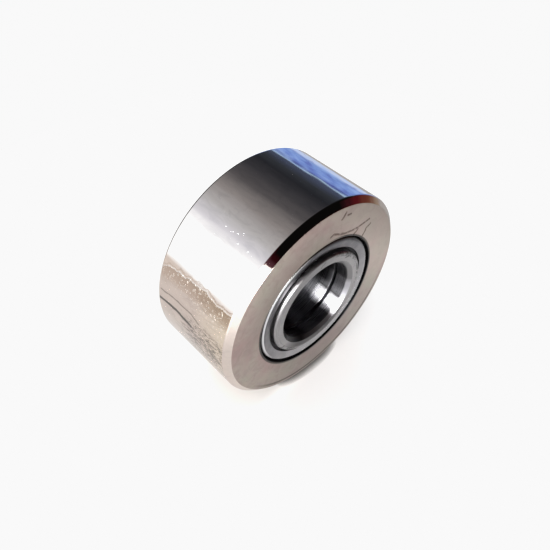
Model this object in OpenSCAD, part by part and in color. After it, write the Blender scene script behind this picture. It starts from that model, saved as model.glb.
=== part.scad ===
// Yoke-type cam follower. A thick outer ring rolls on two full rows of cylindrical
// rollers around an inner ring, and a flange ring on each side clamps the inner ring
// on its shaft. A sheet-metal angle ring pressed into each side of the outer ring holds
// the unit together and carries a rubber lip that closes the gap to the flange ring.
// The axis lies along Y, the origin is the centre of the bore, -Y is the front, +Z is up.

/* [Outer ring] */
// Outside diameter, the surface that rolls on the cam
outside_d = 52; // [50:0.5:62]
// Width of the outer ring
ring_w = 24; // [23.8:0.1:24.4]
// Radial size of the bevel at each edge of the outer ring
bevel_r = 1.35; // [0.3:0.05:1.6]
// Axial size of the same bevel
bevel_a = 1.2; // [0.3:0.05:1.6]
// Diameter of the recess that the angle ring is pressed into
recess_d = 33.8; // [33.4:0.1:36]
// Depth of that recess below the outer ring's side
recess_depth = 1.9; // [1.8:0.05:2.1]
// Bore of the three ribs that guide the rollers
rib_d = 31.6; // [31.4:0.1:32.4]
// Width of the rib between the two rows
middle_rib_w = 1.5; // [1.2:0.1:1.5]

/* [Inner ring and flange rings] */
// Diameter of the bore that takes the shaft
bore_d = 20; // [18:0.1:20.6]
// Width over the two flange rings, which is what the shaft's shoulders clamp
overall_w = 25; // [24.8:0.1:25.4]
// Diameter of the raceway on the inner ring
inner_race_d = 24.5; // [24.4:0.02:24.52]
// Width of the inner ring
inner_w = 16.5; // [16.5:0.1:16.7]
// Diameter of the flange ring's outer shoulder
shoulder_d = 26.4; // [25:0.1:26.6]
// Diameter of the flange ring's inner flange, behind the lip seal
flange_d = 31; // [29:0.1:31]
// Chamfer at each end of the through bore
bore_chamfer = 0.9; // [0.3:0.1:1.2]
// Chamfer where the flange ring and the inner ring meet in the bore
joint_chamfer = 0.5; // [0.2:0.1:0.6]
// Width of the lubrication groove in the middle of the inner ring's bore
oil_groove_w = 3; // [2.2:0.1:4]
// Depth of the lubrication groove
oil_groove_depth = 0.6; // [0.3:0.1:0.9]
// Diameter of the holes from that groove to the rollers
oil_hole_d = 1.6; // [1:0.1:2]
// Number of those holes
oil_holes = 3; // [2:1:6]

/* [Rollers] */
// Rollers in each of the two rows
roller_count = 18; // [12:1:18]
// Diameter of a roller
roller_d = 5; // [4.96:0.01:5]
// Length of a roller
roller_l = 7.2; // [6:0.1:7.3]
// Chamfer at the ends of a roller
roller_chamfer = 0.3; // [0.1:0.05:0.6]
// Clearance between a roller and each raceway
roller_gap = 0.02; // [0.01:0.01:0.04]

/* [Angle rings and seals] */
// Thickness of the angle ring's sheet metal
sheet_t = 0.8; // [0.6:0.05:0.8]
// Depth of the angle ring's face below the outer ring's side
sheet_inset = 0.1; // [0.1:0.05:0.35]
// Outside radius of the bend in the angle ring
sheet_bend_r = 1.3; // [0.3:0.05:1.3]
// Depth that the angle ring's face slopes inwards, from its bend to its hole
sheet_dish = 0.2; // [0:0.05:0.4]
// Inside diameter of the angle ring
sheet_hole_d = 28; // [27:0.1:28.6]
// Clearance between the lip seal and the flange ring's shoulder
lip_gap = 0.05; // [0.02:0.01:0.1]
// Thickness of the lip seal where the angle ring backs it
seal_t = 0.75; // [0.5:0.05:0.75]

/* [Hidden] */
ROWS = ["front", "back"];
SIDE_PARTS = ["flange_ring", "angle_ring", "seal"];

function two_digits(n) = str(n < 10 ? "0" : "", n);
function roller_name(row, n) = str(row, "_roller_", two_digits(n));

$fn = 120;

outside_r = outside_d / 2;
ring_face = ring_w / 2;
recess_r = recess_d / 2;
recess_floor = ring_face - recess_depth;
recess_chamfer = 0.15;
rib_r = rib_d / 2;
bore_r = bore_d / 2;
overall_face = overall_w / 2;
inner_end = inner_w / 2;
inner_race_r = inner_race_d / 2;
shoulder_r = shoulder_d / 2;
flange_r = flange_d / 2;
roller_r = roller_d / 2;
pitch_r = inner_race_r + roller_gap + roller_r;
outer_race_r = pitch_r + roller_r + roller_gap;
roller_pocket = inner_end - middle_rib_w / 2;
row_centre = middle_rib_w / 2 + roller_pocket / 2;
race_chamfer = 0.2;
shoulder_round = 0.6;
flange_chamfer = 0.3;
sheet_face = ring_face - sheet_inset;
sheet_back = sheet_face - sheet_t;
sheet_hole_r = sheet_hole_d / 2;
seal_back = sheet_back - seal_t;
flange_top = seal_back - 0.3;
lip_r = shoulder_r + lip_gap;
lip_edge_t = 0.25;

// The points of a quarter-round from one direction to another, about a centre
function arc(centre, r, from, to, steps = 8) = [
    for (i = [0:steps])
        let (a = from + (to - from) * i / steps)
        centre + r * [cos(a), sin(a)]
];

// A profile that is the same on both sides of the middle plane, from its front half
function both_sides(half) = concat(
    half,
    [for (i = [len(half) - 1:-1:0]) [half[i][0], -half[i][1]]]
);

// Turns a profile of [radius, distance in front of the middle plane] about the Y axis
module turned(profile) {
    rotate([90, 0, 0])
        rotate_extrude()
            polygon(profile);
}

// Puts a front piece on its own side
module on_side(row) {
    mirror([0, row == "back" ? 1 : 0, 0])
        children();
}

module outer_ring() {
    half = [
        [rib_r, middle_rib_w / 2],
        [outer_race_r, middle_rib_w / 2],
        [outer_race_r, inner_end],
        [rib_r, inner_end],
        [rib_r, recess_floor],
        [recess_r, recess_floor],
        [recess_r, ring_face - recess_chamfer],
        [recess_r + recess_chamfer, ring_face],
        [outside_r - bevel_r, ring_face],
        [outside_r, ring_face - bevel_a]
    ];
    color("silver")
        turned(both_sides(half));
}

module inner_ring() {
    half = [
        [bore_r + oil_groove_depth, oil_groove_w / 2 - oil_groove_depth],
        [bore_r, oil_groove_w / 2],
        [bore_r, inner_end - joint_chamfer],
        [bore_r + joint_chamfer, inner_end],
        [inner_race_r - race_chamfer, inner_end],
        [inner_race_r, inner_end - race_chamfer]
    ];
    color("lightsteelblue")
        difference() {
            turned(both_sides(half));
            for (i = [0:oil_holes - 1])
                rotate([0, 360 * (i + 0.5) / oil_holes, 0])
                    cylinder(h = inner_race_r + 1, d = oil_hole_d, $fn = 32);
        }
}

// Clamps the inner ring and closes the side of the bearing
module flange_ring(row) {
    profile = concat(
        [
            [bore_r, inner_end + joint_chamfer],
            [bore_r + joint_chamfer, inner_end],
            [flange_r, inner_end],
            [flange_r, flange_top - flange_chamfer],
            [flange_r - flange_chamfer, flange_top],
            [shoulder_r, flange_top]
        ],
        arc(
            [shoulder_r - shoulder_round, overall_face - shoulder_round],
            shoulder_round, 0, 90
        ),
        [
            [bore_r + bore_chamfer, overall_face],
            [bore_r, overall_face - bore_chamfer]
        ]
    );
    color("gainsboro")
        on_side(row)
            turned(profile);
}

// A ring of L-shaped sheet metal, pressed into the recess of the outer ring
module angle_ring(row) {
    profile = concat(
        [
            [recess_r - sheet_t, recess_floor],
            [recess_r, recess_floor]
        ],
        arc(
            [recess_r - sheet_bend_r, sheet_face - sheet_bend_r],
            sheet_bend_r, 0, 90
        ),
        [
            [sheet_hole_r, sheet_face - sheet_dish],
            [sheet_hole_r, sheet_back],
            [recess_r - sheet_t, sheet_back]
        ]
    );
    color("darkgray")
        on_side(row)
            turned(profile);
}

// A rubber disc behind the angle ring, thinned to a lip next to the shoulder
module seal(row) {
    profile = [
        [recess_r - sheet_t, sheet_back],
        [sheet_hole_r, sheet_back],
        [lip_r, sheet_back - lip_edge_t / 2],
        [lip_r, sheet_back - lip_edge_t * 1.5],
        [sheet_hole_r, seal_back],
        [recess_r - sheet_t, seal_back]
    ];
    color([0.08, 0.08, 0.08])
        on_side(row)
            turned(profile);
}

// One of a row of rollers, each parallel to the axis and next to the last
module roller(row, n) {
    half = [
        [0, roller_l / 2],
        [roller_r - roller_chamfer, roller_l / 2],
        [roller_r, roller_l / 2 - roller_chamfer]
    ];
    color("whitesmoke")
        on_side(row)
            rotate([0, 360 * n / roller_count, 0])
                translate([0, -row_centre, pitch_r])
                    turned(both_sides(half));
}

outer_ring();
inner_ring();
for (row = ROWS) {
    flange_ring(row);
    angle_ring(row);
    seal(row);
    for (n = [1:roller_count]) {
        roller(row, n);
    }
}
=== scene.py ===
"""The looks of the cam follower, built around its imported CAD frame.

Every steel ring, seal and roller is turned again as a fine mesh with rounded edges, at the
sizes that the frame gives, because polished steel shows every facet and every sharp corner.
"""

import math

import bpy
from mathutils import Matrix, Vector


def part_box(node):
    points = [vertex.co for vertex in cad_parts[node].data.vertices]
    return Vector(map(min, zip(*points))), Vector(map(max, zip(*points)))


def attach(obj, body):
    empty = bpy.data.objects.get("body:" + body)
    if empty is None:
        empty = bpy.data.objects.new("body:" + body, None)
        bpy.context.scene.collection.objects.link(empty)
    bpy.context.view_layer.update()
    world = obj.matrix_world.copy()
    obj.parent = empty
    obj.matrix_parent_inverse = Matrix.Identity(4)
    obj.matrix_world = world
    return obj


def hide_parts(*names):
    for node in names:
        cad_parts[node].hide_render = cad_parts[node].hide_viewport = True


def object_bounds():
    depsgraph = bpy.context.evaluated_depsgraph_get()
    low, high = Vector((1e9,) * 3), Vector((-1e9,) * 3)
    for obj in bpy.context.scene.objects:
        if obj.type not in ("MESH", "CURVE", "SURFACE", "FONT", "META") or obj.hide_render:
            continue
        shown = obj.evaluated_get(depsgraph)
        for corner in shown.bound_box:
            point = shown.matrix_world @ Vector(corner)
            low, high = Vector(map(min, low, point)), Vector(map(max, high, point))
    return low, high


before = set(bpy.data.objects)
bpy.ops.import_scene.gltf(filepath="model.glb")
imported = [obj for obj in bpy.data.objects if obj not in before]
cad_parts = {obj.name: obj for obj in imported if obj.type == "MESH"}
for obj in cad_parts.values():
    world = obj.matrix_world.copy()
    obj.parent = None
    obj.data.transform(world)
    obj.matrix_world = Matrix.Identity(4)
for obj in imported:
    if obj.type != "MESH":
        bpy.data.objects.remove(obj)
cad_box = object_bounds()

MM = 0.001
ROWS = {"front": -1, "back": 1}  # the side of each row along Y


# --- Sizes, in millimetres, read from the frame -----------------------------------------------


def reach(node):
    """The smallest and largest distance of a CAD node from the roller's axis."""
    radii = [math.hypot(v.co.x, v.co.z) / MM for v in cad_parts[node].data.vertices]
    return min(radii), max(radii)


def depth(node):
    """How far the near and the far end of a CAD node lie from the middle plane."""
    ends = [abs(corner.y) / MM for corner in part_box(node)]
    return min(ends), max(ends)


ROLLER_GAP = 0.02  # the clearance between a roller and each raceway
OUTSIDE_R = reach("outer_ring")[1]
RIB_R = reach("outer_ring")[0]
RING_FACE = depth("outer_ring")[1]
BORE_R = reach("inner_ring")[0]
INNER_RACE_R = reach("inner_ring")[1]
INNER_END = depth("inner_ring")[1]
FLANGE_R = reach("front_flange_ring")[1]
CLAMP_FACE = depth("front_flange_ring")[1]
SHEET_HOLE_R, RECESS_R = reach("front_angle_ring")
RECESS_FLOOR, SHEET_FACE = depth("front_angle_ring")
LIP_R, SEAL_R = reach("front_seal")
SEAL_BACK, SHEET_BACK = depth("front_seal")
ROLLER_END = depth("front_roller_01")[1]
ROLLER_START = depth("front_roller_01")[0]
OUTER_RACE_R = reach("front_roller_01")[1] + ROLLER_GAP
ROLLER_COUNT = sum(1 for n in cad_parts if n.startswith("front_roller_"))
FLOOR_Z = cad_box[0].z

# --- Sizes, in millimetres, that the frame doesn't give ---------------------------------------

BEVEL_R = 1.35  # radial size of the outer ring's bevels
BEVEL_A = 1.2  # their axial size
EDGE = 0.16  # rounding of the polished edges
BREAK = 0.06  # rounding of the small broken edges
MIDDLE_RIB = 0.75  # half the width of the rib between the two rows
BORE_CHAMFER = 0.9  # at each end of the through bore
JOINT_CHAMFER = 0.5  # where the flange ring and the inner ring meet in the bore
RACE_CHAMFER = 0.2
OIL_GROOVE_HALF = 1.5  # half the width of the oil groove in the inner ring's bore
OIL_GROOVE_DEPTH = 0.6
OIL_HOLE_R = 0.8
OIL_HOLES = 3
SHEET_BEND_R = 1.3  # the outside of the angle ring's bend
SHEET_DISH = 0.2  # the slope of the angle ring's face, from its bend to its hole
DISH_ROUND = 1.0  # the rounding where that slope begins
LIP_GAP = 0.05  # the clearance between the lip seal and the flange ring's shoulder
SHOULDER_R = LIP_R - LIP_GAP
SHOULDER_ROUND = 0.6
FLANGE_GAP = 0.3  # the space between the seal and the flange behind it
FLANGE_TOP = SEAL_BACK - FLANGE_GAP
ROLLER_R = (OUTER_RACE_R - INNER_RACE_R) / 2 - ROLLER_GAP
PITCH_R = INNER_RACE_R + ROLLER_GAP + ROLLER_R
ROLLER_CHAMFER = 0.3
ARC_STEP = math.radians(9)  # the turn from one point of a rounded corner to the next
RING_SEGMENTS = 256  # round the circle, on everything but a roller
ROLLER_SEGMENTS = 64
SHARP = math.radians(20)  # an edge that turns more than this isn't shaded smooth


# --- Turned meshes ----------------------------------------------------------------------------


def both_sides(half):
    """An outline that is the same on both sides of the middle plane, from its front half."""
    return half + [(r, -a, rounding) for r, a, rounding in reversed(half)]


def rounded(corners, closed):
    """Rounds a counter-clockwise outline of (radius, axial place, rounding) corners.

    Returns the place and the outward normal of each point.
    """
    outline = []
    for i, (r, a, rounding) in enumerate(corners):
        here = Vector((r, a))
        if not closed and i in (0, len(corners) - 1):
            after = Vector(corners[1][:2]) if i == 0 else here
            before = here if i == 0 else Vector(corners[-2][:2])
            along = (after - before).normalized()
            outline.append((here, Vector((along.y, -along.x))))
            continue
        along = (here - Vector(corners[i - 1][:2])).normalized()
        onward = (Vector(corners[(i + 1) % len(corners)][:2]) - here).normalized()
        turn = math.atan2(along.cross(onward), along.dot(onward))
        side = math.copysign(rounding, turn)
        start = here - along * rounding * math.tan(abs(turn) / 2)
        centre = start + Vector((-along.y, along.x)) * side
        steps = max(2, math.ceil(abs(turn) / ARC_STEP))
        for k in range(steps + 1):
            normal = Matrix.Rotation(turn * k / steps, 2) @ Vector((along.y, -along.x))
            outline.append((centre + normal * side, normal))
    return outline


def lathe(name, corners, finishes, finish_at=None, closed=True, segments=RING_SEGMENTS):
    """Turns an outline about the Y axis, into a closed mesh that shades as true curves.

    finish_at gives the number of the finish at a radius and an axial place. An outline that
    isn't closed gets a flat cap at each end.
    """
    outline = rounded(corners, closed)
    count = len(outline)
    places, normals = [], []
    for j in range(segments):
        c, s = math.cos(math.tau * j / segments), math.sin(math.tau * j / segments)
        places += [Vector((p.x * c, -p.y, p.x * s)) * MM for p, _ in outline]
        normals += [Vector((n.x * c, -n.y, n.x * s)) for _, n in outline]
    faces, slots = [], []
    for i in range(count if closed else count - 1):
        after = (i + 1) % count
        middle = (outline[i][0] + outline[after][0]) / 2
        slots += [finish_at(*middle) if finish_at else 0] * segments
        for j in range(segments):
            here, there = j * count, (j + 1) % segments * count
            faces.append((here + i, there + i, there + after, here + after))
    if not closed:
        faces.append([j * count for j in reversed(range(segments))])
        faces.append([j * count + count - 1 for j in range(segments)])
        slots += [0, 0]
    mesh = bpy.data.meshes.new(name)
    mesh.from_pydata(places, [], faces)
    for material in finishes:
        mesh.materials.append(material)
    mesh.polygons.foreach_set("material_index", slots)
    mesh.shade_smooth()
    mesh.normals_split_custom_set_from_vertices(normals)
    piece = bpy.data.objects.new(name, mesh)
    bpy.context.collection.objects.link(piece)
    return piece


def to_row(piece, row):
    """Turns a front piece round to the back, half a turn about the Z axis."""
    if row == "back":
        piece.data.transform(Matrix.Rotation(math.pi, 4, "Z"))


def place(piece, node, body):
    """Puts a piece in the CAD node's stead."""
    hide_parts(node)
    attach(piece, body)


# --- Materials --------------------------------------------------------------------------------


FAR_AWAY = 1000.0  # further, in millimetres, than any place on the roller is from any scratch


class Graph:
    """A material's or the world's node tree, built from short calls."""

    def __init__(self, owner):
        owner.use_nodes = True
        self.tree = owner.node_tree
        self.tree.nodes.clear()

    def node(self, kind, inputs=None, **settings):
        """Adds a node. Each input is a number, a colour or another node's output."""
        made = self.tree.nodes.new("ShaderNode" + kind)
        for name, value in settings.items():
            setattr(made, name, value)
        for name, value in (inputs or {}).items():
            if isinstance(value, bpy.types.NodeSocket):
                self.tree.links.new(value, made.inputs[name])
            else:
                made.inputs[name].default_value = value
        return made

    def math(self, operation, *values):
        return self.node("Math", dict(enumerate(values)), operation=operation).outputs[0]

    def ramp(self, value, stops):
        """A colour ramp through (place, colour) stops."""
        made = self.node("ValToRGB", {"Fac": value})
        elements = made.color_ramp.elements
        while len(elements) < len(stops):
            elements.new(1)
        for element, (where, colour) in zip(elements, stops):
            element.position = where
            element.color = (*colour, 1)
        return made.outputs["Color"]

    def noise(self, vector, scale, detail=3, roughness=0.5, distortion=0):
        inputs = {"Vector": vector, "Scale": scale, "Detail": detail}
        inputs |= {"Roughness": roughness, "Distortion": distortion}
        return self.node("TexNoise", inputs).outputs["Fac"]

    def blend(self, factor, first, second):
        """Mixes two colours, each an (r, g, b) or another node's output."""
        inputs = {0: factor}
        for slot, colour in ((6, first), (7, second)):
            inputs[slot] = (*colour, 1) if isinstance(colour, tuple) else colour
        return self.node("Mix", inputs, data_type="RGBA").outputs[2]

    def times(self, *masks):
        """Multiplies masks and numbers together."""
        product = masks[0]
        for mask in masks[1:]:
            product = self.math("MULTIPLY", product, mask)
        return product

    def add(self, first, second):
        return self.math("ADD", first, second)

    def either(self, first, second):
        """The stronger of two masks."""
        return self.math("MAXIMUM", first, second)

    def remap(self, value, low, high, to_low=0.0, to_high=1.0):
        inputs = dict(enumerate((value, low, high, to_low, to_high)))
        return self.node("MapRange", inputs).outputs[0]

    def bump(self, height, strength, distance, under=None):
        """A normal from a height, at a distance in millimetres, over another normal if given."""
        inputs = {"Height": height, "Strength": strength, "Distance": distance * MM}
        if under:
            inputs["Normal"] = under
        return self.node("Bump", inputs).outputs["Normal"]

    def finish(self, kind, shader):
        made = self.node("Output" + kind)
        self.tree.links.new(shader, made.inputs["Surface"])


def grey(value):
    return (value, value, value)


class RollerGraph(Graph):
    """A material that knows the roller's own directions, all in millimetres."""

    def __init__(self, name):
        self.material = bpy.data.materials.new(name)
        super().__init__(self.material)
        place_node = self.node("TexCoord").outputs["Object"]
        self.place = self.node(
            "VectorMath", {0: place_node, "Scale": 1 / MM}, operation="SCALE"
        ).outputs[0]
        parts = self.node("SeparateXYZ", {0: self.place}).outputs
        self.x, self.y, self.z = parts[0], parts[1], parts[2]
        squares = self.add(self.math("POWER", self.x, 2), self.math("POWER", self.z, 2))
        self.r = self.math("SQRT", squares)
        self.turn = self.math("ARCTAN2", self.z, self.x)
        self.from_middle = self.math("ABSOLUTE", self.y)

    def around(self, along_scale, turn_scale):
        """Coordinates that run round the axis, for lines left by turning and grinding."""
        turn_x = self.times(self.math("COSINE", self.turn), turn_scale)
        turn_z = self.times(self.math("SINE", self.turn), turn_scale)
        across = self.times(self.add(self.y, self.r), along_scale)
        return self.node("CombineXYZ", {0: turn_x, 1: across, 2: turn_z}).outputs[0]

    def stretched(self, x, y, z):
        """The place, scaled along each axis, for marks that are longer one way."""
        inputs = {0: self.place, 1: (x, y, z)}
        return self.node("VectorMath", inputs, operation="MULTIPLY").outputs[0]

    def stroke(self, flat, points, width):
        """A scratch: 1 on a line through points of a flattened place, 0 beyond its width."""
        nearest = FAR_AWAY
        for start, end in zip(points, points[1:]):
            along = Vector(end) - Vector(start)
            from_start = self.node("VectorMath", {0: flat, 1: start}, operation="SUBTRACT")
            inputs = {0: from_start.outputs[0], 1: along / along.length_squared}
            share = self.node("VectorMath", inputs, operation="DOT_PRODUCT").outputs["Value"]
            share = self.remap(share, 0.0, 1.0)  # clamped to the stretch between the points
            foot = self.node("VectorMath", {0: along, "Scale": share}, operation="SCALE")
            inputs = {0: from_start.outputs[0], 1: foot.outputs[0]}
            away = self.node("VectorMath", inputs, operation="DISTANCE").outputs["Value"]
            nearest = self.math("MINIMUM", away, nearest)
        return self.remap(nearest, width, width / 2)

    def front_scratches(self, scratches, width):
        """Scratches on the front, each through (x, z) points, a little shaky and uneven."""
        shake = self.remap(self.noise(self.place, 0.9, detail=3), 0.0, 1.0, -0.45, 0.45)
        flat = self.node("CombineXYZ", {0: self.add(self.x, shake), 2: self.z}).outputs[0]
        in_front = self.remap(self.y, 0.0, -1.0)
        deepest = 0.0
        for points in scratches:
            mark = self.stroke(flat, [(x, 0, z) for x, z in points], width)
            deepest = self.either(mark, deepest)
        uneven = self.remap(self.noise(self.place, 1.6, detail=2), 0.3, 0.5, 0.3, 1.0)
        return self.times(deepest, in_front, uneven)

    def towards(self, turn):
        """The cosine of the angle from a turn about the axis, in degrees from +X."""
        return self.math("COSINE", self.math("SUBTRACT", self.turn, math.radians(turn)))

    def part_ring(self, radius, width, middle, reach):
        """A mask along a circle of a radius and a width, around a turn in degrees from +X and
        as far as an angle on either side of it, where it has faded out."""
        away = self.math("ABSOLUTE", self.math("SUBTRACT", self.r, radius))
        ring = self.remap(away, width * 0.6, width * 0.4)
        end = math.cos(math.radians(reach))
        return self.times(ring, self.remap(self.towards(middle), end, end + 0.3))

    def metal(self, colour, roughness, normal, grain=0.0):
        """Steel. A grain above 0 spreads reflections across lines that run round the axis."""
        inputs = {"Base Color": colour, "Metallic": 1.0, "Roughness": roughness}
        inputs |= {"Normal": normal, "Anisotropic": grain, "Anisotropic Rotation": 0.25}
        if grain:
            inputs["Tangent"] = self.node("Tangent", direction_type="RADIAL", axis="Y").outputs[0]
        shader = self.node("BsdfPrincipled", inputs)
        self.finish("Material", shader.outputs[0])
        return self.material


# Specks of dust on the outside, as (x, y) points in millimetres seen from above.
SPECKS = [(-13.4, 1.3), (-13.5, -0.6), (-13.2, -1.9), (-12.6, -2.9), (-14.4, -3.2), (-14.5, -6.3)]
# A scratch and a finer one on the outside, as (0, y, z) points in millimetres seen from the left.
TREAD_SCRATCH = [(0, 12, 3.4), (0, 4.5, 4.2), (0, -0.5, 3.5)]
TREAD_HAIRLINE = [(0, 10, 6.2), (0, 5.5, 6.8), (0, -0.5, 6.9), (0, -3, 6.2)]
# Scratches on the front side of the outer ring, as (x, z) points in millimetres.
SIDE_SCRATCHES = [
    [(2.4, 18.3), (3.1, 18.5), (6.5, 16.6), (9.3, 15.8), (11.3, 15.6), (14.5, 15.7)],
    [(5.4, 21.3), (6.4, 22.5)],
    [(7.0, 21.4), (7.9, 21.2)],
    [(9.6, 14.2), (10.9, 15.0)],
    [(13.0, 11.8), (13.8, 13.4), (15.2, 14.0)],
]
# Scratches on the front flange ring, likewise.
RING_SCRATCHES = [
    [(-10.4, -6.4), (-12.0, -6.2), (-11.2, -7.3)],
    [(-9.6, -8.2), (-7.4, -10.2)],
    [(-0.2, 11.4), (0.8, 12.4)],
    [(7.6, 9.2), (8.6, 8.9)],
]
# The part of the joint round the angle ring that is painted dark as shade: its middle, from +X,
# and its reach, in degrees.
SHADED_JOINT = (-62, 157)


def tread_steel():
    """The polished outside: nearly a mirror, with faint grinding lines, a few specks of dust
    and, on the left, a dried film of oil. The bevels are the smoothest."""
    g = RollerGraph("polished_tread_steel")
    lines = g.noise(g.around(9.0, 0.35), 1.0, detail=4, roughness=0.7)
    cloud = g.noise(g.place, 0.16, detail=2)
    smudge = g.noise(g.stretched(0.6, 0.25, 0.6), 1.0, detail=4, distortion=1.2)
    colour = g.blend(cloud, (0.74, 0.64, 0.58), (0.70, 0.605, 0.55))
    colour = g.blend(g.remap(smudge, 0.48, 0.68, 0.0, 0.45), colour, (0.58, 0.51, 0.47))
    between_bevels = g.remap(g.from_middle, 10.70, 10.45)
    colour, film, wrinkle, drops_and_painted_glints = oil_film(g, colour, between_bevels)
    specks = dust_specks(g)
    colour = g.blend(g.times(specks, 0.6), colour, (0.97, 0.96, 0.98))
    rough = g.remap(lines, 0.3, 0.7, 0.03, 0.075)
    rough = g.add(rough, g.times(film, 0.08))
    rough = g.add(rough, g.times(specks, 0.5))
    rough = g.times(rough, g.remap(between_bevels, 0.0, 1.0, 0.35, 1.0))
    dust = g.remap(g.noise(g.place, 1.1, detail=2, roughness=0.7), 0.74, 0.78)
    dust = g.times(dust, g.math("SUBTRACT", between_bevels, film))
    normal = g.bump(g.add(lines, g.times(dust, 4.0)), 0.05, 0.02)
    normal = g.bump(g.times(wrinkle, film), 0.5, 0.12, normal)
    normal = g.bump(drops_and_painted_glints, 0.4, 0.06, normal)
    return g.metal(colour, rough, normal)


def dust_specks(g):
    """A short light stroke at each of the specks, on the upper half of the outside."""
    from_above = g.node("CombineXYZ", {0: g.x, 1: g.y}).outputs[0]
    specks = 0.0
    for x, y in SPECKS:
        speck = g.stroke(from_above, [(x, y, 0), (x + 0.1, y - 0.3, 0)], 0.10)
        specks = g.either(speck, specks)
    return g.times(specks, g.remap(g.z, 0.0, 1.0))


def oil_film(g, colour, between_bevels):
    """Lays the dried film of oil over a colour: brown, darkest along its ragged upper edge and
    warmest towards the front, with creases, and drops that are also painted lighter as glints.

    Returns the colour, the film's mask, the noise that wrinkles it and the mask of the drops
    and their painted glints.
    """
    wander = g.times(g.noise(g.place, 0.4, detail=5, roughness=0.55), 3.0)
    height = g.add(g.add(g.z, wander), g.remap(g.y, 3.0, 12.0, 0.0, 1.8))
    left = g.times(g.remap(g.x, -5.0, -12.0), between_bevels)
    film = g.times(g.remap(height, 14.6, 14.4), left)
    rim = g.ramp(g.remap(height, 15.5, 9.5), [
        (0.05, grey(0)),
        (0.09, grey(0.8)),
        (0.11, grey(0)),
        (0.15, grey(0)),
        (0.19, grey(1)),
        (0.45, grey(0.75)),
        (0.80, grey(0)),
    ])
    rim = g.times(rim, left, g.remap(g.y, 12.0, -12.0, 0.5, 1.1))
    wrinkle = g.noise(g.stretched(1.0, 0.25, 1.0), 0.5, detail=5, roughness=0.6, distortion=1.0)
    creases = film_creases(g, film, wrinkle)
    creases = g.either(creases, g.times(film_scratches(g, wander), left))
    upper = g.remap(g.math("SUBTRACT", height, g.times(g.y, 0.3)), 8.0, 12.0)
    drops_and_painted_glints = g.remap(g.noise(g.place, 1.5, detail=2), 0.59, 0.65)
    drops_and_painted_glints = g.times(drops_and_painted_glints, film, upper, g.remap(g.y, -10.6, -9.6))
    warm = g.times(film, g.remap(g.y, 0.0, -10.0, 0.0, 0.6))
    colour = g.blend(g.times(film, 0.6), colour, (0.60, 0.49, 0.43))
    colour = g.blend(warm, colour, (0.80, 0.68, 0.52))
    colour = g.blend(g.times(rim, 0.8), colour, (0.33, 0.235, 0.165))
    # The drops are real relief, and are also painted lighter as glints.
    colour = g.blend(g.times(drops_and_painted_glints, 0.6), colour, (0.86, 0.76, 0.68))
    colour = g.blend(g.times(creases, 0.95), colour, (0.055, 0.045, 0.038))
    return colour, film, wrinkle, drops_and_painted_glints


def film_creases(g, film, wrinkle):
    """Dark creases in the film: wide ones low down, and fine ones at the front."""
    wide = g.ramp(wrinkle, [(0.46, grey(0)), (0.50, grey(1)), (0.54, grey(0))])
    wide = g.times(wide, film, g.remap(g.z, 6.0, 1.0, 0.15, 1.0))
    wide = g.times(wide, g.remap(g.y, 5.0, 0.0, 0.2, 1.0))
    fine = g.noise(g.stretched(1.5, 0.4, 1.5), 1.2, detail=4, roughness=0.65, distortion=0.6)
    fine = g.ramp(fine, [(0.46, grey(0)), (0.485, grey(1)), (0.515, grey(1)), (0.54, grey(0))])
    half_height = g.remap(g.math("ABSOLUTE", g.z), 7.0, 4.5)
    fine = g.times(fine, g.remap(g.y, 2.0, -1.5), half_height, film)
    return g.either(wide, fine)


def film_scratches(g, wander):
    """The two scratches through the film, which waver a little as its edge does."""
    shaky = g.add(g.z, g.times(wander, 0.25))
    flat = g.node("CombineXYZ", {1: g.y, 2: shaky}).outputs[0]
    hairline = g.times(g.stroke(flat, TREAD_HAIRLINE, 0.25), 0.6)
    return g.either(g.stroke(flat, TREAD_SCRATCH, 0.5), hairline)


def side_steel():
    """The ground sides of the outer ring: satin, with rings of fine lines, painted light
    towards the upper right, painted shade towards the bottom, at the upper left inside and
    along the lower rim, painted shade in the joint, and a few scratches in front."""
    g = RollerGraph("ground_side_steel")
    lines = g.noise(g.around(7.0, 0.6), 1.0, detail=5, roughness=0.75)
    cloud = g.noise(g.place, 0.12, detail=3)
    stain = g.noise(g.place, 0.45, detail=3, distortion=1.0)
    colour = g.ramp(cloud, [
        (0.34, (0.40, 0.29, 0.27)),
        (0.50, (0.42, 0.35, 0.31)),
        (0.66, (0.40, 0.37, 0.31)),
    ])
    colour = g.blend(g.remap(stain, 0.45, 0.7, 0.0, 0.5), colour, (0.30, 0.235, 0.215))
    colour = g.blend(g.remap(lines, 0.55, 0.8, 0.0, 0.25), colour, (0.3, 0.25, 0.22))
    # Painted light: lighter towards the upper right.
    bright = g.remap(g.towards(30), 0.5, 1.0, 0.0, 0.45)
    colour = g.blend(bright, colour, (0.58, 0.49, 0.44))
    # Painted shade: darker towards the bottom.
    dull = g.remap(g.towards(-75), 0.4, 1.0, 0.0, 0.55)
    colour = g.blend(dull, colour, (0.22, 0.205, 0.19))
    # Painted shade: darker at the upper left, inside towards the recess.
    painted_shade_upper_left = g.times(g.remap(g.towards(125), 0.4, 1.0, 0.0, 0.6), g.remap(g.r, 23.5, 18.0))
    colour = g.blend(painted_shade_upper_left, colour, (0.20, 0.165, 0.145))
    worn = g.front_scratches(SIDE_SCRATCHES, 0.36)
    colour = g.blend(g.times(worn, 0.85), colour, (0.10, 0.06, 0.045))
    # Painted shade in the joint round the angle ring.
    joint = g.part_ring(RECESS_R, 0.9, *SHADED_JOINT)
    colour = g.blend(g.times(joint, 0.9), colour, (0.020, 0.018, 0.018))
    # Painted shade: a dark line along the lower rim.
    rim = g.part_ring(OUTSIDE_R - BEVEL_R - 0.9, 0.65, -80, 65)
    colour = g.blend(g.times(rim, 0.8), colour, (0.055, 0.045, 0.040))
    rough = g.remap(lines, 0.3, 0.7, 0.30, 0.42)
    normal = g.bump(lines, 0.12, 0.02)
    normal = g.bump(g.math("SUBTRACT", 1.0, worn), 0.4, 0.05, normal)
    return g.metal(colour, rough, normal, grain=0.35)


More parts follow.
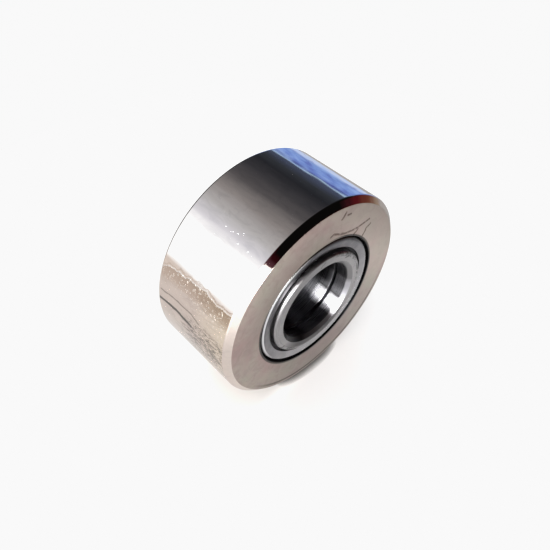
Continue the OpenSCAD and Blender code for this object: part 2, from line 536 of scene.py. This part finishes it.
def ring_steel():
    """The finely turned steel of the inner ring and the flange rings: painted shade at the upper
    left, darker round the lower mouth of the bore, and dirt in patches at the shoulder."""
    g = RollerGraph("turned_ring_steel")
    lines = g.noise(g.around(8.0, 0.5), 1.0, detail=4, roughness=0.7)
    cloud = g.noise(g.place, 0.3, detail=3)
    colour = g.blend(cloud, (0.37, 0.36, 0.362), (0.27, 0.262, 0.266))
    marks = g.front_scratches(RING_SCRATCHES, 0.3)
    colour = g.blend(g.times(marks, 0.8), colour, (0.04, 0.038, 0.04))
    # Painted shade: darker at the upper left.
    shade = g.remap(g.towards(110), 0.5, 1.0, 0.0, 0.5)
    colour = g.blend(shade, colour, (0.16, 0.156, 0.162))
    # Darker round the lower mouth of the bore.
    mouth = g.part_ring(BORE_R + BORE_CHAMFER, 3.0, -95, 55)
    colour = g.blend(g.times(mouth, 0.9), colour, (0.05, 0.048, 0.05))
    patches = g.remap(g.noise(g.place, 1.4, detail=4, roughness=0.7), 0.42, 0.54, 0.0, 0.8)
    grime = g.times(g.part_ring(SHOULDER_R - 0.5, 1.0, 28, 55), patches)
    colour = g.blend(grime, colour, (0.07, 0.066, 0.07))
    rough = g.remap(lines, 0.3, 0.7, 0.25, 0.35)
    normal = g.bump(lines, 0.10, 0.02)
    return g.metal(colour, rough, normal, grain=0.35)


def bore_steel():
    """The honed bore and its chamfers: dark, with painted highlights as bright strips near its
    ends and on the chamfer, painted shade further in and on the lower left chamfer, a dark
    joint, and painted shade on the steel behind the seals and inside the outer ring.

    Honing lines run round the bore, so a light in front of it shows as a streak along it.
    """
    g = RollerGraph("honed_bore_steel")
    lines = g.noise(g.around(6.0, 0.4), 1.0, detail=4, roughness=0.7)
    cloud = g.noise(g.place, 0.3, detail=3)
    colour = g.blend(cloud, (0.11, 0.107, 0.113), (0.085, 0.082, 0.088))
    chamfer = g.remap(g.r, BORE_R + 0.05, BORE_R + 0.15)
    colour = g.blend(chamfer, colour, (0.28, 0.275, 0.28))
    # Painted highlight: bright strips along the streak near the ends and on the chamfer.
    near_end = g.remap(g.from_middle, 4.4, 5.6)
    strip = g.add(g.towards(-48.5), g.remap(cloud, 0.3, 0.7, -0.003, 0.003))
    painted_highlight = g.times(near_end, g.remap(strip, 0.970, 0.986))
    painted_highlight = g.either(painted_highlight, g.times(chamfer, g.remap(strip, 0.74, 0.90)))
    colour = g.blend(painted_highlight, colour, (0.50, 0.49, 0.51))
    # Painted highlight: a second bright strip.
    second_painted_highlight = g.times(near_end, g.remap(g.towards(-18), 0.960, 0.990, 0.0, 0.8))
    colour = g.blend(second_painted_highlight, colour, (0.60, 0.59, 0.63))
    # Painted shade: darker on the far wall further in.
    further_in = g.remap(g.from_middle, 7.6, 6.2)
    shade = g.times(further_in, g.remap(g.towards(-5), 0.87, 0.94, 0.0, 0.9))
    colour = g.blend(shade, colour, (0.020, 0.018, 0.021))
    # Painted shade: near black on the lower left of the chamfer.
    painted_shade_chamfer = g.part_ring(BORE_R + BORE_CHAMFER, 2.2 * BORE_CHAMFER, -145, 55)
    colour = g.blend(painted_shade_chamfer, colour, (0.010, 0.009, 0.011))
    joint = g.times(g.remap(g.r, BORE_R + 0.02, BORE_R + 0.1), g.remap(g.from_middle, 10.2, 9.6))
    joint = g.times(joint, g.remap(g.towards(0), -0.2, 0.5, 0.2, 1.0))
    # Painted shade: near black behind the seals and inside the outer ring.
    dark_joint_and_painted_shade = g.either(joint, g.remap(g.r, SHOULDER_R, SHEET_HOLE_R))
    colour = g.blend(dark_joint_and_painted_shade, colour, (0.008, 0.008, 0.009))
    rough = g.remap(lines, 0.3, 0.7, 0.24, 0.34)
    return g.metal(colour, rough, g.bump(lines, 0.05, 0.02), grain=1.0)


def sheet_steel():
    """The pressed sheet metal of the angle rings: smooth, with painted shade towards the top, a
    painted highlight along the upper left of its bend, and painted shade in its joint with the
    outer ring."""
    g = RollerGraph("pressed_sheet_steel")
    lines = g.noise(g.around(3.5, 0.5), 1.0, detail=3, roughness=0.6)
    cloud = g.noise(g.place, 0.4, detail=3)
    # Painted shade: darker towards the top, with a little random tone.
    across = g.math("SUBTRACT", g.z, g.times(g.x, 0.4))
    painted_shade_towards_top = g.add(g.remap(across, -15.0, 12.0), g.remap(cloud, 0.3, 0.7, -0.12, 0.12))
    colour = g.blend(painted_shade_towards_top, (0.45, 0.44, 0.455), (0.085, 0.082, 0.091))
    # Painted highlight along the upper left of the bend.
    painted_highlight = g.part_ring(RECESS_R - 0.85, 0.42, 155, 58)
    colour = g.blend(g.times(painted_highlight, 0.85), colour, (0.90, 0.90, 0.92))
    # Painted shade in the joint with the outer ring.
    joint = g.part_ring(RECESS_R, 1.3, *SHADED_JOINT)
    colour = g.blend(g.times(joint, 0.95), colour, (0.012, 0.011, 0.013))
    rough = g.remap(lines, 0.3, 0.7, 0.15, 0.23)
    normal = g.bump(lines, 0.12, 0.03)
    return g.metal(colour, rough, normal, grain=0.6)


def roller_steel():
    """The superfinished steel of the rollers."""
    g = RollerGraph("superfinished_roller_steel")
    lines = g.noise(g.place, 6.0, detail=4, roughness=0.7)
    colour = g.blend(lines, (0.60, 0.60, 0.60), (0.56, 0.56, 0.565))
    return g.metal(colour, g.remap(lines, 0.3, 0.7, 0.06, 0.12), g.bump(lines, 0.04, 0.01))


def seal_rubber():
    """Black nitrile rubber with a fine moulded grain."""
    g = RollerGraph("black_seal_rubber")
    grain = g.noise(g.place, 18.0, detail=4, roughness=0.6)
    colour = g.blend(grain, (0.008, 0.008, 0.009), (0.016, 0.016, 0.017))
    rough = g.remap(grain, 0.3, 0.7, 0.42, 0.58)
    inputs = {"Base Color": colour, "Roughness": rough, "Normal": g.bump(grain, 0.3, 0.02)}
    inputs |= {"Specular IOR Level": 0.08}
    g.finish("Material", g.node("BsdfPrincipled", inputs).outputs[0])
    return g.material


TREAD, SIDE, RING, BORE, SHEET, RUBBER, ROLLER = (
    tread_steel(),
    side_steel(),
    ring_steel(),
    bore_steel(),
    sheet_steel(),
    seal_rubber(),
    roller_steel(),
)


# --- The pieces -------------------------------------------------------------------------------


def outer_ring_finish(r, a):
    """Polished outside with its bevels, ground sides, and steel painted near black as
    shade inside.
    """
    if r > OUTSIDE_R - BEVEL_R and abs(a) < RING_FACE - BREAK / 4:
        return 0
    return 1 if r > RECESS_R + BREAK and abs(a) > RING_FACE - 2 * BREAK else 2


def outer_ring():
    half = [
        (RIB_R, MIDDLE_RIB, BREAK),
        (OUTER_RACE_R, MIDDLE_RIB, BREAK),
        (OUTER_RACE_R, INNER_END, BREAK),
        (RIB_R, INNER_END, BREAK),
        (RIB_R, RECESS_FLOOR, BREAK),
        (RECESS_R, RECESS_FLOOR, BREAK),
        (RECESS_R, RING_FACE, BREAK),
        (OUTSIDE_R - BEVEL_R, RING_FACE, 2 * EDGE),
        (OUTSIDE_R, RING_FACE - BEVEL_A, 4 * EDGE),
    ]
    piece = lathe(
        "outer_ring_turned",
        list(reversed(both_sides(half))),
        [TREAD, SIDE, BORE],
        outer_ring_finish,
    )
    place(piece, "outer_ring", "rolling_ring")


def bored_finish(r, a):
    """Honed steel in the bore and on its chamfers, turned steel elsewhere."""
    return 1 if r < BORE_R + BORE_CHAMFER - BREAK else 0


def flange_ring(row):
    corners = [
        (BORE_R, CLAMP_FACE - BORE_CHAMFER, BREAK),
        (BORE_R, INNER_END + JOINT_CHAMFER, BREAK),
        (BORE_R + JOINT_CHAMFER, INNER_END, BREAK / 2),
        (FLANGE_R, INNER_END, BREAK),
        (FLANGE_R, FLANGE_TOP, 4 * BREAK),
        (SHOULDER_R, FLANGE_TOP, 2 * BREAK),
        (SHOULDER_R, CLAMP_FACE, SHOULDER_ROUND),
        (BORE_R + BORE_CHAMFER, CLAMP_FACE, BREAK),
    ]
    piece = lathe(f"{row}_flange_ring_turned", corners, [RING, BORE], bored_finish)
    to_row(piece, row)
    place(piece, f"{row}_flange_ring", "clamped_rings")


def angle_ring(row):
    corners = [
        (SEAL_R, RECESS_FLOOR, BREAK),
        (RECESS_R, RECESS_FLOOR, BREAK),
        (RECESS_R, SHEET_FACE, SHEET_BEND_R),
        (RECESS_R - SHEET_BEND_R - 3 * BREAK, SHEET_FACE, DISH_ROUND),
        (SHEET_HOLE_R, SHEET_FACE - SHEET_DISH, 2 * BREAK),
        (SHEET_HOLE_R, SHEET_BACK, BREAK),
        (SEAL_R, SHEET_BACK, BREAK),
    ]
    piece = lathe(f"{row}_angle_ring_pressed", corners, [SHEET])
    to_row(piece, row)
    place(piece, f"{row}_angle_ring", "rolling_ring")


def seal(row):
    lip_thickness = (SHEET_BACK - SEAL_BACK) / 3
    corners = [
        (LIP_R, SHEET_BACK - lip_thickness / 2, lip_thickness / 3),
        (LIP_R, SHEET_BACK - lip_thickness * 1.5, lip_thickness / 3),
        (SHEET_HOLE_R, SEAL_BACK, 2 * BREAK),
        (SEAL_R, SEAL_BACK, BREAK),
        (SEAL_R, SHEET_BACK, BREAK),
        (SHEET_HOLE_R, SHEET_BACK, BREAK),
    ]
    piece = lathe(f"{row}_seal_moulded", corners, [RUBBER])
    to_row(piece, row)
    place(piece, f"{row}_seal", "rolling_ring")


def drill_oil_hole(piece, turn):
    """Drills from the axis to the outside, at a turn about the axis from straight up."""
    length = INNER_RACE_R + 1
    outwards = Vector((math.sin(turn), 0, math.cos(turn)))
    bpy.ops.mesh.primitive_cylinder_add(
        vertices=32, radius=OIL_HOLE_R * MM, depth=length * MM,
        location=outwards * length / 2 * MM, rotation=(0, turn, 0),
    )
    drill = bpy.context.object
    cut = piece.modifiers.new("oil_hole", "BOOLEAN")
    cut.object = drill
    bpy.context.view_layer.objects.active = piece
    bpy.ops.object.modifier_apply(modifier=cut.name)
    bpy.data.objects.remove(drill)


def inner_ring():
    half = [
        (BORE_R + OIL_GROOVE_DEPTH, OIL_GROOVE_HALF - OIL_GROOVE_DEPTH, 3 * BREAK),
        (BORE_R, OIL_GROOVE_HALF, BREAK),
        (BORE_R, INNER_END - JOINT_CHAMFER, BREAK),
        (BORE_R + JOINT_CHAMFER, INNER_END, BREAK / 2),
        (INNER_RACE_R, INNER_END, RACE_CHAMFER),
    ]
    piece = lathe(
        "inner_ring_turned", list(reversed(both_sides(half))), [RING, BORE], bored_finish
    )
    for i in range(OIL_HOLES):
        drill_oil_hole(piece, math.tau * (i + 0.5) / OIL_HOLES)
    piece.data.shade_smooth()
    piece.data.set_sharp_from_angle(angle=SHARP)
    place(piece, "inner_ring", "clamped_rings")


def roller(row, n):
    """One roller, turned about its own axis and set in its place in the row."""
    half_length = (ROLLER_END - ROLLER_START) / 2
    corners = both_sides([
        (ROLLER_R / 4, half_length, 0),
        (ROLLER_R - ROLLER_CHAMFER, half_length, ROLLER_CHAMFER / 2),
        (ROLLER_R, half_length - ROLLER_CHAMFER, ROLLER_CHAMFER / 2),
    ])
    name = f"{row}_roller_{n:02d}"
    outline = list(reversed(corners))
    piece = lathe(name + "_ground", outline, [ROLLER], closed=False, segments=ROLLER_SEGMENTS)
    angle = math.tau * n / ROLLER_COUNT
    along = ROWS[row] * (ROLLER_START + half_length)
    centre = Vector((PITCH_R * math.sin(angle), along, PITCH_R * math.cos(angle))) * MM
    piece.data.transform(Matrix.Translation(centre))
    place(piece, name, f"{row}_rollers")


outer_ring()
inner_ring()
for row in ROWS:
    flange_ring(row)
    angle_ring(row)
    seal(row)
    for n in range(1, ROLLER_COUNT + 1):
        roller(row, n)


# --- The stage: a pale floor, a studio's soft light and the camera ----------------------------

PALE = 0.947  # the brightness of the floor and of the backdrop
DOME = 1.5  # the soft light from all round, which overexposes the floor as in the photo
WHITE_SCREEN = 22.0  # the brightest part of the screen in front, on the left
FLOOR_R = 130
CONTACT_REACH = 2.0  # how near the roller has to be for the floor's painted contact shadow, in millimetres
# The camera's place in millimetres, its turn from the roller's axis and its rise in degrees.
CAMERA_PLACE = (-59.74, -62.62, 96.64)
CAMERA_TURN = -42.85
CAMERA_RISE = 48.48
CAMERA_LENS = 36.65  # in millimetres, on a sensor 36 wide
SENSOR = 36


def floor():
    """A pale floor, with a contact shadow painted into its colour where the roller touches it. The
    roller mirrors it with a painted shadow on the right, and brighter far ahead on the left, where
    the white screen stands on it."""
    bpy.ops.mesh.primitive_circle_add(
        vertices=128, radius=FLOOR_R * MM, fill_type="NGON", location=(0, 0, FLOOR_Z)
    )
    disc = bpy.context.object
    disc.name = "floor"
    material = bpy.data.materials.new("pale_floor")
    g = Graph(material)
    place_parts = g.node("SeparateXYZ", {0: g.node("TexCoord").outputs["Object"]}).outputs
    # Painted shadow: the floor, as the roller mirrors it, is darker on the right.
    right = g.remap(place_parts[0], 45 * MM, 60 * MM)
    mirrored = g.blend(right, grey(PALE / DOME), grey(PALE / DOME / 2))
    ahead_left = g.remap(g.add(place_parts[0], place_parts[1]), -85 * MM, -180 * MM)
    mirrored = g.blend(ahead_left, mirrored, grey(1.0))
    # Painted contact shadow: the floor's colour darkens where the roller is near.
    near = {"Distance": CONTACT_REACH * MM}
    open_to_light = g.node("AmbientOcclusion", near, samples=16).outputs["AO"]
    seen = g.blend(g.math("POWER", open_to_light, 2.5), grey(0.03), grey(0.8))
    is_mirrored = g.node("LightPath").outputs["Is Glossy Ray"]
    inputs = {"Base Color": g.blend(is_mirrored, seen, mirrored), "Roughness": 1.0}
    inputs |= {"Specular IOR Level": 0.0}
    g.finish("Material", g.node("BsdfPrincipled", inputs).outputs[0])
    disc.data.materials.append(material)


def bands_behind(g, band, direction):
    """A blue window low on the right, a dark wall, a ceiling that brightens to the left, and a
    white screen."""
    bands = g.ramp(band, [
        (0.00, (0.62, 0.66, 0.70)),
        (0.055, (0.70, 0.88, 1.25)),
        (0.085, (0.27, 0.45, 0.95)),
        (0.13, (0.24, 0.42, 1.02)),
        (0.158, (0.20, 0.34, 0.90)),
        (0.170, (0.09, 0.14, 0.42)),
        (0.178, (0.12, 0.19, 0.50)),
        (0.184, (0.60, 0.92, 1.25)),
        (0.190, (0.08, 0.11, 0.20)),
        (0.24, (0.040, 0.05, 0.065)),
        (0.285, (0.024, 0.028, 0.037)),
        (0.35, (0.055, 0.06, 0.073)),
        (0.42, (0.115, 0.12, 0.135)),
        (0.50, (0.34, 0.35, 0.37)),
        (0.58, (0.62, 0.68, 0.74)),
        (0.64, (0.92, 1.02, 1.18)),
        (0.69, (1.50, 1.70, 1.85)),
        (0.870, (1.50, 1.70, 1.85)),
        (0.895, (0.95, 0.92, 0.89)),
    ])
    spread = g.node("VectorMath", {0: direction, 1: (1, 7, 1)}, operation="MULTIPLY").outputs[0]
    sky = g.noise(spread, 7.0, detail=4, roughness=0.6)
    window = g.remap(band, 0.19, 0.175)
    clouds = g.times(g.remap(sky, 0.50, 0.65, 0.0, 0.7), window)
    bands = g.blend(clouds, bands, (0.42, 0.66, 1.25))
    deep = g.times(g.remap(sky, 0.48, 0.36, 0.0, 0.7), window)
    return g.blend(deep, bands, (0.13, 0.17, 0.62))


def bands_ahead(g, band):
    """A dull red low on the right, darkness, and the white screen on the left."""
    return g.ramp(band, [
        (0.00, (0.50, 0.50, 0.45)),
        (0.05, (0.36, 0.30, 0.24)),
        (0.09, (0.17, 0.06, 0.04)),
        (0.14, (0.10, 0.010, 0.015)),
        (0.175, (0.035, 0.008, 0.012)),
        (0.20, grey(0.004)),
        (0.55, grey(0.004)),
        (0.60, (0.035, 0.004, 0.007)),
        (0.645, (0.13, 0.06, 0.08)),
        (0.665, grey(5.0)),
        (0.69, grey(WHITE_SCREEN)),
        (0.78, grey(WHITE_SCREEN)),
        (0.83, grey(6.0)),
        (0.90, grey(1.9)),
        (1.00, grey(1.5)),
    ])


def studio():
    """The light round the roller: an even dome that lights what is dull, and bands that run
    along the roller's axis, which the polished steel mirrors."""
    world = bpy.data.worlds.new("studio")
    bpy.context.scene.world = world
    g = Graph(world)
    direction = g.node("TexCoord").outputs["Generated"]
    parts = g.node("SeparateXYZ", {0: direction}).outputs
    lean = g.math("ARCTAN2", parts[0], parts[2])  # from straight up, towards +X
    ripple = g.remap(g.noise(direction, 14.0, detail=4), 0.3, 0.7, -0.035, 0.035)
    band = g.remap(g.add(lean, ripple), math.radians(120), math.radians(-120))
    ahead_to_behind = g.remap(parts[1], -0.10, 0.30)
    mirrored = g.blend(ahead_to_behind, bands_ahead(g, band), bands_behind(g, band, direction))
    straight_behind = g.remap(parts[1], 0.76, 0.86)
    mirrored = g.blend(straight_behind, mirrored, (0.035, 0.037, 0.036))
    path = g.node("LightPath").outputs
    lit = g.blend(path["Is Diffuse Ray"], mirrored, grey(DOME))
    seen = g.blend(path["Is Camera Ray"], lit, grey(PALE))
    g.finish("World", g.node("Background", {"Color": seen}).outputs[0])
    world.cycles.sampling_method = "NONE"  # or dull surfaces would be lit by the bands too


def camera():
    """Stands where the photograph was taken from: in front, to the left and above."""
    data = bpy.data.cameras.new("camera")
    data.lens = CAMERA_LENS
    data.sensor_width = SENSOR
    azimuth, elevation = math.radians(CAMERA_TURN), math.radians(CAMERA_RISE)
    right = Vector((math.cos(azimuth), math.sin(azimuth), 0))
    back = Vector((
        math.sin(azimuth) * math.cos(elevation),
        -math.cos(azimuth) * math.cos(elevation),
        math.sin(elevation),
    ))
    facing = Matrix((right, back.cross(right), back)).transposed().to_4x4()
    camera_object = bpy.data.objects.new("camera", data)
    camera_object.matrix_world = Matrix.Translation(Vector(CAMERA_PLACE) * MM) @ facing
    data.clip_start = 1 * MM
    bpy.context.collection.objects.link(camera_object)
    bpy.context.scene.camera = camera_object


def colours():
    """Shows colours as they are, up to the photo's palest white, and clips there."""
    view = bpy.context.scene.view_settings
    view.view_transform = "Standard"
    view.use_curve_mapping = True
    curve = view.curve_mapping
    curve.extend = "HORIZONTAL"
    curve.curves[3].points[1].location = (PALE, PALE)
    curve.update()


floor()
studio()
camera()
colours()
